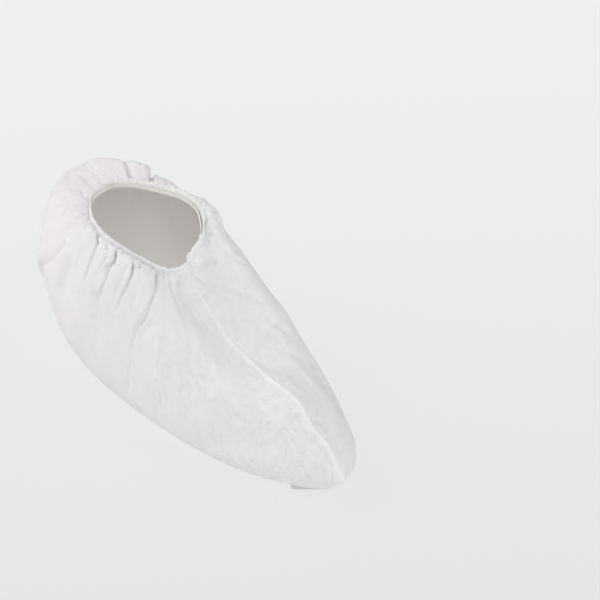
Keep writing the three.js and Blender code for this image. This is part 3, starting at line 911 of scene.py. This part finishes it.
    def build(self, outer: bpy.types.Material, inner: bpy.types.Material) -> bpy.types.Object:
        """Args:
            outer: The cloth's outer face.
            inner: The cloth's inner face.

        Returns:
            The panel.
        """
        panel = new_piece(f"{self.node}_cloth", self.surface(), (outer, inner))
        wall = panel.modifiers.new("cloth_thickness", "SOLIDIFY")
        wall.thickness = self.thickness * MM
        wall.offset = -1.0
        wall.use_rim = True
        wall.material_offset = 1
        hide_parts(self.node)
        return panel


def new_piece(name: str, surface: Surface, materials: tuple[bpy.types.Material, ...]) -> bpy.types.Object:
    """A smooth-shaded object from arrays, riding on the cover's body.

    Coinciding points are merged. A face with two neighbouring corners in one point becomes a triangle, and
    one with more goes. Edges that turn sharply stay sharp.

    Args:
        name: The piece's name.
        surface: Its points, faces and doubling.
        materials: The piece's materials, in slot order.

    Returns:
        The object.
    """
    mesh = bpy.data.meshes.new(name)
    placed = (surface.points + [SOLE_BACK_X, 0.0, 0.0]) * MM
    kept, renumbered = merged(placed)
    corners = renumbered[surface.faces]
    pinched = corners == np.roll(corners, -1, axis=1)
    pinches = pinched.sum(axis=1)
    triangles = corners[pinches == 1][~pinched[pinches == 1]].reshape(-1, 3)
    mesh.from_pydata(placed[kept].tolist(), [], corners[pinches == 0].tolist() + triangles.tolist())
    mesh.attributes.new(DOUBLED, "FLOAT", "POINT").data.foreach_set("value", surface.doubled[kept])
    mesh.validate()
    mesh.shade_smooth()
    mesh.set_sharp_from_angle(angle=SHARP_ANGLE)
    for material in materials:
        mesh.materials.append(material)
    piece = bpy.data.objects.new(name, mesh)
    bpy.context.scene.collection.objects.link(piece)
    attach(piece, BODY)
    return piece


def merged(points: np.ndarray) -> tuple[np.ndarray, np.ndarray]:
    """Takes points that lie within the merge distance as one, by rounding them to a grid of that step.

    Args:
        points: Points, in metres.

    Returns:
        The numbers of the points that stay, and each point's new number.
    """
    cells = np.round(points / MERGE_DISTANCE).astype(np.int64)
    _, first, renumbered = np.unique(cells, axis=0, return_index=True, return_inverse=True)
    return first, renumbered.reshape(-1)


@dataclass
class ElasticTape:
    """The narrow elastic tape sewn inside the hem, as one closed ring."""

    form: CoverForm
    node: str = "elastic_band"
    height: float = 2.4
    thickness: float = 0.5
    inset: float = 1.5
    below_edge: float = 1.65
    around: int = 420
    section_points: int = 28
    corner_power: int = 4
    ribs: int = 4
    rib_height: float = 0.09
    pull_pitch: float = 2.3
    pull_height: float = 0.1
    ripple: float = 0.05
    ripple_pitch: float = 9.0
    unevenness: float = 0.02
    heading_step: float = 0.02
    seed: int = 5

    def surface(self) -> Surface:
        """The tape: a rounded strip's outline carried round the rim.

        The outline is a superellipse with cosine ribs across its faces. Its middle follows the hem, set in
        from it and rippled by a sine. A cosine of the way round thickens it where it is pulled.

        Returns:
            The surface.
        """
        rng = np.random.default_rng(self.seed)
        turn = np.linspace(0.0, 2.0 * LAST_STATION, self.around, endpoint=False)
        foot = self.form.foot(Side.LEFT, turn)
        step = self.heading_step
        heading = self.form.foot(Side.LEFT, turn + step) - self.form.foot(Side.LEFT, turn - step)
        inward = unit(np.cross(heading * [1.0, 1.0, 0.0], UP)) * -1.0
        length = way_along(foot)[-1]
        way_round = np.pi * turn / LAST_STATION
        ripple = self.ripple * np.sin(np.round(length / self.ripple_pitch) * way_round)
        pull = self.pull_height * np.cos(np.round(length / self.pull_pitch) * way_round)
        angle = np.linspace(0.0, 2.0 * np.pi, self.section_points, endpoint=False)
        across, upright = np.cos(angle), np.sin(angle)
        power = self.corner_power
        round_off = (across**power + upright**power) ** (-1.0 / power)
        across, upright = across * round_off, upright * round_off
        rib = self.rib_height * np.cos(np.pi * self.ribs * upright) * np.abs(across) ** 2 * np.sign(across)
        depth = 0.5 * self.thickness * across + rib
        middle = self.inset + 0.5 * self.thickness + ripple + rng.normal(0.0, self.unevenness, self.around)
        height = self.form.hem_height - self.below_edge - 0.5 * self.height + 0.5 * self.height * upright
        side_way = middle[:, None] + depth[None, :] * (1.0 + pull[:, None])
        points = foot[:, None] + inward[:, None] * side_way[..., None] + UP * height[None, :, None]
        index = np.arange(self.around * self.section_points).reshape(self.around, self.section_points)
        closed = np.pad(index, (0, 1), mode="wrap")
        return Surface(points.reshape(-1, 3), grid_faces(closed.T), np.ones(index.size))

    def build(self, material: bpy.types.Material) -> bpy.types.Object:
        """Args:
            material: The tape's finish.

        Returns:
            The tape.
        """
        tape = new_piece("elastic_tape", self.surface(), (material,))
        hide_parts(self.node)
        return tape


def linear(hex_colour: str) -> tuple[float, float, float, float]:
    """An sRGB hex colour as linear red, green, blue and alpha.

    Args:
        hex_colour: Six hex digits after a hash sign.

    Returns:
        The linear colour with an alpha of one.
    """
    values = np.array([int(hex_colour[place:place + 2], 16) for place in (1, 3, 5)]) / 255.0
    red, green, blue = np.where(values <= 0.04045, values / 12.92, ((values + 0.055) / 1.055) ** 2.4)
    return float(red), float(green), float(blue), 1.0


def per_metre(size_mm: float) -> float:
    """The texture scale at which a pattern on Object coordinates repeats every size_mm."""
    return 1.0 / (size_mm * MM)


def add_node(
    tree: bpy.types.NodeTree, kind: str, inputs: dict[str | int, object] | None = None, **settings: object
) -> bpy.types.Node:
    """Adds one node, sets its properties and sets or links its inputs.

    Args:
        tree: The node tree.
        kind: The node's type name.
        inputs: For each input's name or number, a value or the socket that feeds it.
        settings: Properties of the node.

    Returns:
        The node.
    """
    node = tree.nodes.new(kind)
    for name, value in settings.items():
        setattr(node, name, value)
    for name, value in (inputs or {}).items():
        if isinstance(value, bpy.types.NodeSocket):
            tree.links.new(value, node.inputs[name])
        else:
            node.inputs[name].default_value = value
    return node


@dataclass(frozen=True)
class SpunbondFinish:
    """Spunbond polypropylene nonwoven: fine fibres laid at random and welded at small points.

    The cloth is thin and lets light through, less where it is doubled and where more fibres lie, so that it
    looks cloudy. It is matt, with a faint grain, and has a rosy tinge at the heel. The tape's knitted
    elastic has the same finish in ivory, with a closer grain.
    """

    name: str
    dense: str
    sparse: str
    rosy: str
    light_through: float = 0.36
    doubled_through: float = 0.1
    cloud_mm: float = 3.4
    cloud_bend: float = 0.4
    cloud_levels: tuple[float, float] = (0.25, 0.75)
    cloudiness: float = 0.7
    # From the back of the sole, in mm: where the rosy tinge is whole and where it has gone.
    rosy_mm: tuple[float, float] = (55.0, 120.0)
    # Weld points on the real cloth lie about 1 mm apart; they are drawn wider so that they show.
    weld_mm: float = 1.7
    weld_depth_mm: float = 0.06
    weld_strength: float = 0.6
    fibre_mm: float = 0.8
    fibre_bend: float = 1.2
    noise_detail: float = 4.0
    noise_roughness: float = 0.75
    roughness: tuple[float, float] = (0.8, 0.92)
    ior: float = 1.49
    specular: float = 0.25
    sheen: float = 0.12
    sheen_roughness: float = 0.6

    def colour(
        self, tree: bpy.types.NodeTree, place: bpy.types.NodeSocket, cloud: bpy.types.NodeSocket
    ) -> bpy.types.NodeSocket:
        """The cloth's colour: cloudy, and rosy towards the heel.

        Args:
            tree: The material's nodes.
            place: The place on the piece.
            cloud: The cloudiness there.

        Returns:
            The colour's socket.
        """
        fibres = {0: cloud, 6: linear(self.sparse), 7: linear(self.dense)}
        clouded = add_node(tree, "ShaderNodeMix", fibres, data_type="RGBA").outputs[2]
        along = add_node(tree, "ShaderNodeSeparateXYZ", {"Vector": place}).outputs["X"]
        near, far = ((SOLE_BACK_X + edge) * MM for edge in self.rosy_mm)
        share = add_node(
            tree,
            "ShaderNodeMapRange",
            {"Value": along, "From Min": near, "From Max": far, "To Min": 1.0, "To Max": 0.0},
            interpolation_type="SMOOTHSTEP",
        ).outputs["Result"]
        return add_node(
            tree,
            "ShaderNodeMix",
            {0: share, 6: clouded, 7: linear(self.rosy)},
            data_type="RGBA",
            blend_type="MULTIPLY",
        ).outputs[2]

    def see_through(self, tree: bpy.types.NodeTree, cloud: bpy.types.NodeSocket) -> bpy.types.NodeSocket:
        """The share of light let through: less in clouds of fibres, and least where the cloth is doubled.

        Args:
            tree: The material's nodes.
            cloud: The cloudiness.

        Returns:
            The share's socket.
        """
        spread = self.light_through * self.cloudiness
        single = add_node(
            tree,
            "ShaderNodeMapRange",
            {
                "Value": cloud,
                "From Min": self.cloud_levels[0],
                "From Max": self.cloud_levels[1],
                "To Min": self.light_through + spread,
                "To Max": self.light_through - spread,
            },
        ).outputs["Result"]
        doubled = add_node(tree, "ShaderNodeAttribute", attribute_name=DOUBLED).outputs["Fac"]
        return add_node(
            tree, "ShaderNodeMix", {0: doubled, 2: single, 3: self.doubled_through}, data_type="FLOAT"
        ).outputs[0]

    def relief(
        self, tree: bpy.types.NodeTree, place: bpy.types.NodeSocket, fibre: bpy.types.NodeSocket
    ) -> bpy.types.NodeSocket:
        """The fine grain of weld points and fibres, as a bumped normal.

        Args:
            tree: The material's nodes.
            place: The place on the piece.
            fibre: The fibres' noise.

        Returns:
            The normal's socket.
        """
        weld = add_node(tree, "ShaderNodeTexVoronoi", {"Vector": place, "Scale": per_metre(self.weld_mm)})
        both = {0: weld.outputs["Distance"], 1: fibre}
        grain = add_node(tree, "ShaderNodeMath", both, operation="MULTIPLY")
        bump = {
            "Height": grain.outputs["Value"],
            "Strength": self.weld_strength,
            "Distance": self.weld_depth_mm * MM,
        }
        return add_node(tree, "ShaderNodeBump", bump).outputs["Normal"]

    def material(self) -> bpy.types.Material:
        """Makes the material.

        Returns:
            The material.
        """
        material = bpy.data.materials.new(self.name)
        material.use_nodes = True
        tree = material.node_tree
        tree.nodes.clear()
        place = add_node(tree, "ShaderNodeTexCoord").outputs["Object"]
        cloud, fibre = (
            add_node(
                tree,
                "ShaderNodeTexNoise",
                {
                    "Vector": place,
                    "Scale": per_metre(size),
                    "Detail": self.noise_detail,
                    "Roughness": self.noise_roughness,
                    "Distortion": bend,
                },
            ).outputs["Fac"]
            for size, bend in ((self.cloud_mm, self.cloud_bend), (self.fibre_mm, self.fibre_bend))
        )
        colour = self.colour(tree, place, cloud)
        normal = self.relief(tree, place, fibre)
        rough = {"Value": fibre, "To Min": self.roughness[0], "To Max": self.roughness[1]}
        shader = add_node(
            tree,
            "ShaderNodeBsdfPrincipled",
            {
                "Base Color": colour,
                "Roughness": add_node(tree, "ShaderNodeMapRange", rough).outputs["Result"],
                "Normal": normal,
                "IOR": self.ior,
                "Specular IOR Level": self.specular,
                "Sheen Weight": self.sheen,
                "Sheen Roughness": self.sheen_roughness,
            },
        )
        through = add_node(tree, "ShaderNodeBsdfTranslucent", {"Color": colour, "Normal": normal})
        cloth = add_node(
            tree,
            "ShaderNodeMixShader",
            {0: self.see_through(tree, cloud), 1: shader.outputs["BSDF"], 2: through.outputs["BSDF"]},
        )
        add_node(tree, "ShaderNodeOutputMaterial", {"Surface": cloth.outputs["Shader"]})
        return material


@dataclass(frozen=True)
class SoftLight:
    """A large light: its direction from the cover, as right, up and towards the camera, and its watts."""

    name: str
    picture_way: tuple[float, float, float]
    power: float


STUDIO_LIGHTS = (
    SoftLight("left_light", (-1.0, 0.6, 0.2), 25.5),
    SoftLight("right_light", (1.0, 0.6, 0.3), 19.0),
    SoftLight("front_light", (0.0, 0.3, 1.0), 22.0),
    SoftLight("back_light", (-0.6, 1.2, -0.2), 13.5),
    SoftLight("low_light", (0.7, -0.1, 0.8), 7.0),
    SoftLight("near_light", (-0.3, -0.45, 0.85), 10.5),
)


@dataclass(frozen=True)
class Studio:
    """The pale floor, the soft lights and the camera at the photograph's angle.

    The floor's size and reach, the lights' size and distance and the clip end are in metres, and other sizes
    in millimetres. Angles are in degrees. The picture's sizes are in pixels.
    """

    floor_size: float = 6.0
    floor_colour: str = "#454646"
    floor_roughness: float = 0.95
    floor_below: float = 0.2
    # The glow at the picture's lower and upper edge, and how far from the cover's middle these are.
    floor_glow: tuple[float, float] = (0.695, 0.79)
    floor_reach: float = 0.35
    # The corners of the painted shadow under the lifted toe, a floor sheet that glows less, each as the way
    # right and the way down in the picture, in mm along the floor from the back of the sole.
    painted_shadow_corners: Pairs = ((158.5, 234.0), (181.0, 234.0), (181.0, 214.0), (152.0, 214.0))
    # The painted shadow's glow, lower than the floor's, and its depth in mm, which keeps it just over the
    # floor.
    painted_shadow_glow: float = 0.48
    painted_shadow_below: float = 0.15
    sky_colour: str = "#FFFFFF"
    sky_strength: float = 0.02
    light_size: float = 1.6
    light_distance: float = 2.2
    azimuth: float = 51.0
    elevation: float = 41.2
    image_pixels: float = 600.0
    focal_pixels: float = 2511.0
    sensor_mm: float = 36.0
    distance: float = 1708.0
    aim: tuple[float, float, float] = (152.5 + SOLE_BACK_X, 0.0, 30.0)
    picture_shift: tuple[float, float] = (-67.5, -25.0)
    clip_end: float = 50.0

    def axes(self) -> tuple[np.ndarray, np.ndarray, np.ndarray]:
        """The camera's directions, turned by its azimuth about the vertical and then by its elevation.

        Returns:
            The directions to the right, up and back from what the camera sees.
        """
        a, e = math.radians(self.azimuth), math.radians(self.elevation)
        right = np.array([math.cos(a), math.sin(a), 0.0])
        up = np.array([-math.sin(a) * math.sin(e), math.cos(a) * math.sin(e), math.cos(e)])
        return right, up, np.cross(right, up)

    def away(self) -> np.ndarray:
        """The direction along the floor that points up in the picture."""
        return unit(self.axes()[1] * [1.0, 1.0, 0.0])

    def build_camera(self) -> None:
        """Makes the camera and makes it the scene's."""
        right, up, back = self.axes()
        place = np.array(self.aim) - self.picture_shift[0] * right - self.picture_shift[1] * up
        place = (place + self.distance * back) * MM
        data = bpy.data.cameras.new("camera")
        data.sensor_width = self.sensor_mm
        data.lens = self.focal_pixels / self.image_pixels * self.sensor_mm
        data.clip_end = self.clip_end
        camera = bpy.data.objects.new("camera", data)
        turn = Matrix([right, up, back]).transposed().to_4x4()
        camera.matrix_world = Matrix.Translation(Vector(place)) @ turn
        bpy.context.scene.collection.objects.link(camera)
        bpy.context.scene.camera = camera

    def build_light(self, soft: SoftLight) -> None:
        """Adds one large soft light that points at the cover.

        Args:
            soft: The light's name, direction and power.
        """
        way = unit(np.array(soft.picture_way) @ np.array(self.axes()))
        data = bpy.data.lights.new(soft.name, "AREA")
        data.shape = "SQUARE"
        data.size = self.light_size
        data.energy = soft.power
        light = bpy.data.objects.new(soft.name, data)
        light.location = Vector(self.light_distance * way)
        light.rotation_euler = Vector(way).to_track_quat("Z", "Y").to_euler()
        bpy.context.scene.collection.objects.link(light)

    def build_sheet(self, name: str, outline: np.ndarray, glow: tuple[float, float]) -> None:
        """Adds one flat piece of the floor, which glows a little more towards the picture's upper edge.

        Args:
            name: The piece's name.
            outline: Its corners in order, in metres.
            glow: The glow at the picture's lower and upper edge.
        """
        mesh = bpy.data.meshes.new(name)
        mesh.from_pydata(outline.tolist(), [], [list(range(len(outline)))])
        material = bpy.data.materials.new(f"{name}_paper")
        material.use_nodes = True
        tree = material.node_tree
        away = self.away()
        place = add_node(tree, "ShaderNodeTexCoord").outputs["Object"]
        way = add_node(tree, "ShaderNodeVectorMath", {0: place, 1: away.tolist()}, operation="DOT_PRODUCT")
        lit = {
            "Value": way.outputs["Value"],
            "From Min": -self.floor_reach,
            "From Max": self.floor_reach,
            "To Min": glow[0],
            "To Max": glow[1],
        }
        shader = tree.nodes["Principled BSDF"]
        shader.inputs["Base Color"].default_value = linear(self.floor_colour)
        shader.inputs["Roughness"].default_value = self.floor_roughness
        shader.inputs["Emission Color"].default_value = linear(self.sky_colour)
        tree.links.new(
            add_node(tree, "ShaderNodeMapRange", lit).outputs["Result"], shader.inputs["Emission Strength"]
        )
        mesh.materials.append(material)
        sheet = bpy.data.objects.new(name, mesh)
        bpy.context.scene.collection.objects.link(sheet)

    def build_floor(self) -> None:
        """Adds the glowing floor, which keeps shadows faint, and a dimmer sheet under the toe as painted
        shadow.
        """
        half = 0.5 * self.floor_size
        corners = np.array([[-half, -half, 0.0], [half, -half, 0.0], [half, half, 0.0], [-half, half, 0.0]])
        self.build_sheet("studio_floor", corners - self.floor_below * MM * UP, self.floor_glow)
        # Painted shadow: a sheet just over the floor under the lifted toe that glows less than the floor
        # round it.
        shade = np.array(self.painted_shadow_corners) @ np.array([self.axes()[0], -self.away()])
        shade = (shade + [SOLE_BACK_X, 0.0, -self.painted_shadow_below]) * MM
        self.build_sheet("studio_floor_painted_shadow", shade, (self.painted_shadow_glow, self.painted_shadow_glow))

    def build_sky(self) -> None:
        """Sets an even pale surround."""
        world = bpy.data.worlds.new("studio_surround")
        world.use_nodes = True
        surround = world.node_tree.nodes["Background"]
        surround.inputs["Color"].default_value = linear(self.sky_colour)
        surround.inputs["Strength"].default_value = self.sky_strength
        bpy.context.scene.world = world

    def build(self) -> None:
        """Builds the floor, the surround, the lights and the camera."""
        self.build_floor()
        self.build_sky()
        for soft in STUDIO_LIGHTS:
            self.build_light(soft)
        self.build_camera()
        bpy.context.scene.view_settings.view_transform = "Standard"
        LOG.info("studio built")


def main() -> None:
    """Builds the cover's pieces and the studio."""
    logging.basicConfig(level=logging.INFO, format="%(name)s: %(message)s")
    Studio().build()
    form = CoverForm()
    outer = SpunbondFinish("spunbond_outer", "#FCFCFD", "#FAFAFB", "#FFFCFD").material()
    inner = SpunbondFinish("spunbond_inner", "#FBFAF7", "#F9F8F5", "#FFFFFF").material()
    ivory = SpunbondFinish("knitted_elastic", "#FDFBF6", "#F9F6EF", "#FFFFFF", weld_mm=0.9).material()
    tape = ElasticTape(form).build(ivory)
    LOG.info("%s: %d faces", tape.name, len(tape.data.polygons))
    panels = (
        Panel(
            Side.RIGHT, form, RIGHT_FOLDS, seed=11, heel_end=10.5, hem_wave=0.8,
            hem_lean=((2.2, 0), (4, -1.5), (8, -1.5), (10, -0.6)),
            hem_flare=((0, -1.2), (2, -0.6), (4, 0), (10, 0)),
            pull=((0, 1), (10, 1)),
        ),
        Panel(
            Side.LEFT, form, LEFT_FOLDS, seed=23, heel_end=9.5, hem_wave=1.0, front_lift=2.2,
            hem_lean=((0, 0), (10, 0)),
            hem_flare=((0, -2.4), (3, -2.4), (4.5, 1.6), (10, 1.6)),
            pull=((0, 0.7), (3, 0.4), (6, 0.5), (7, 1.0), (10, 1.0)),
        ),
    )
    for panel in panels:
        piece = panel.build(outer, inner)
        LOG.info("%s: %d faces", piece.name, len(piece.data.polygons))


if __name__ == "__main__":
    main()
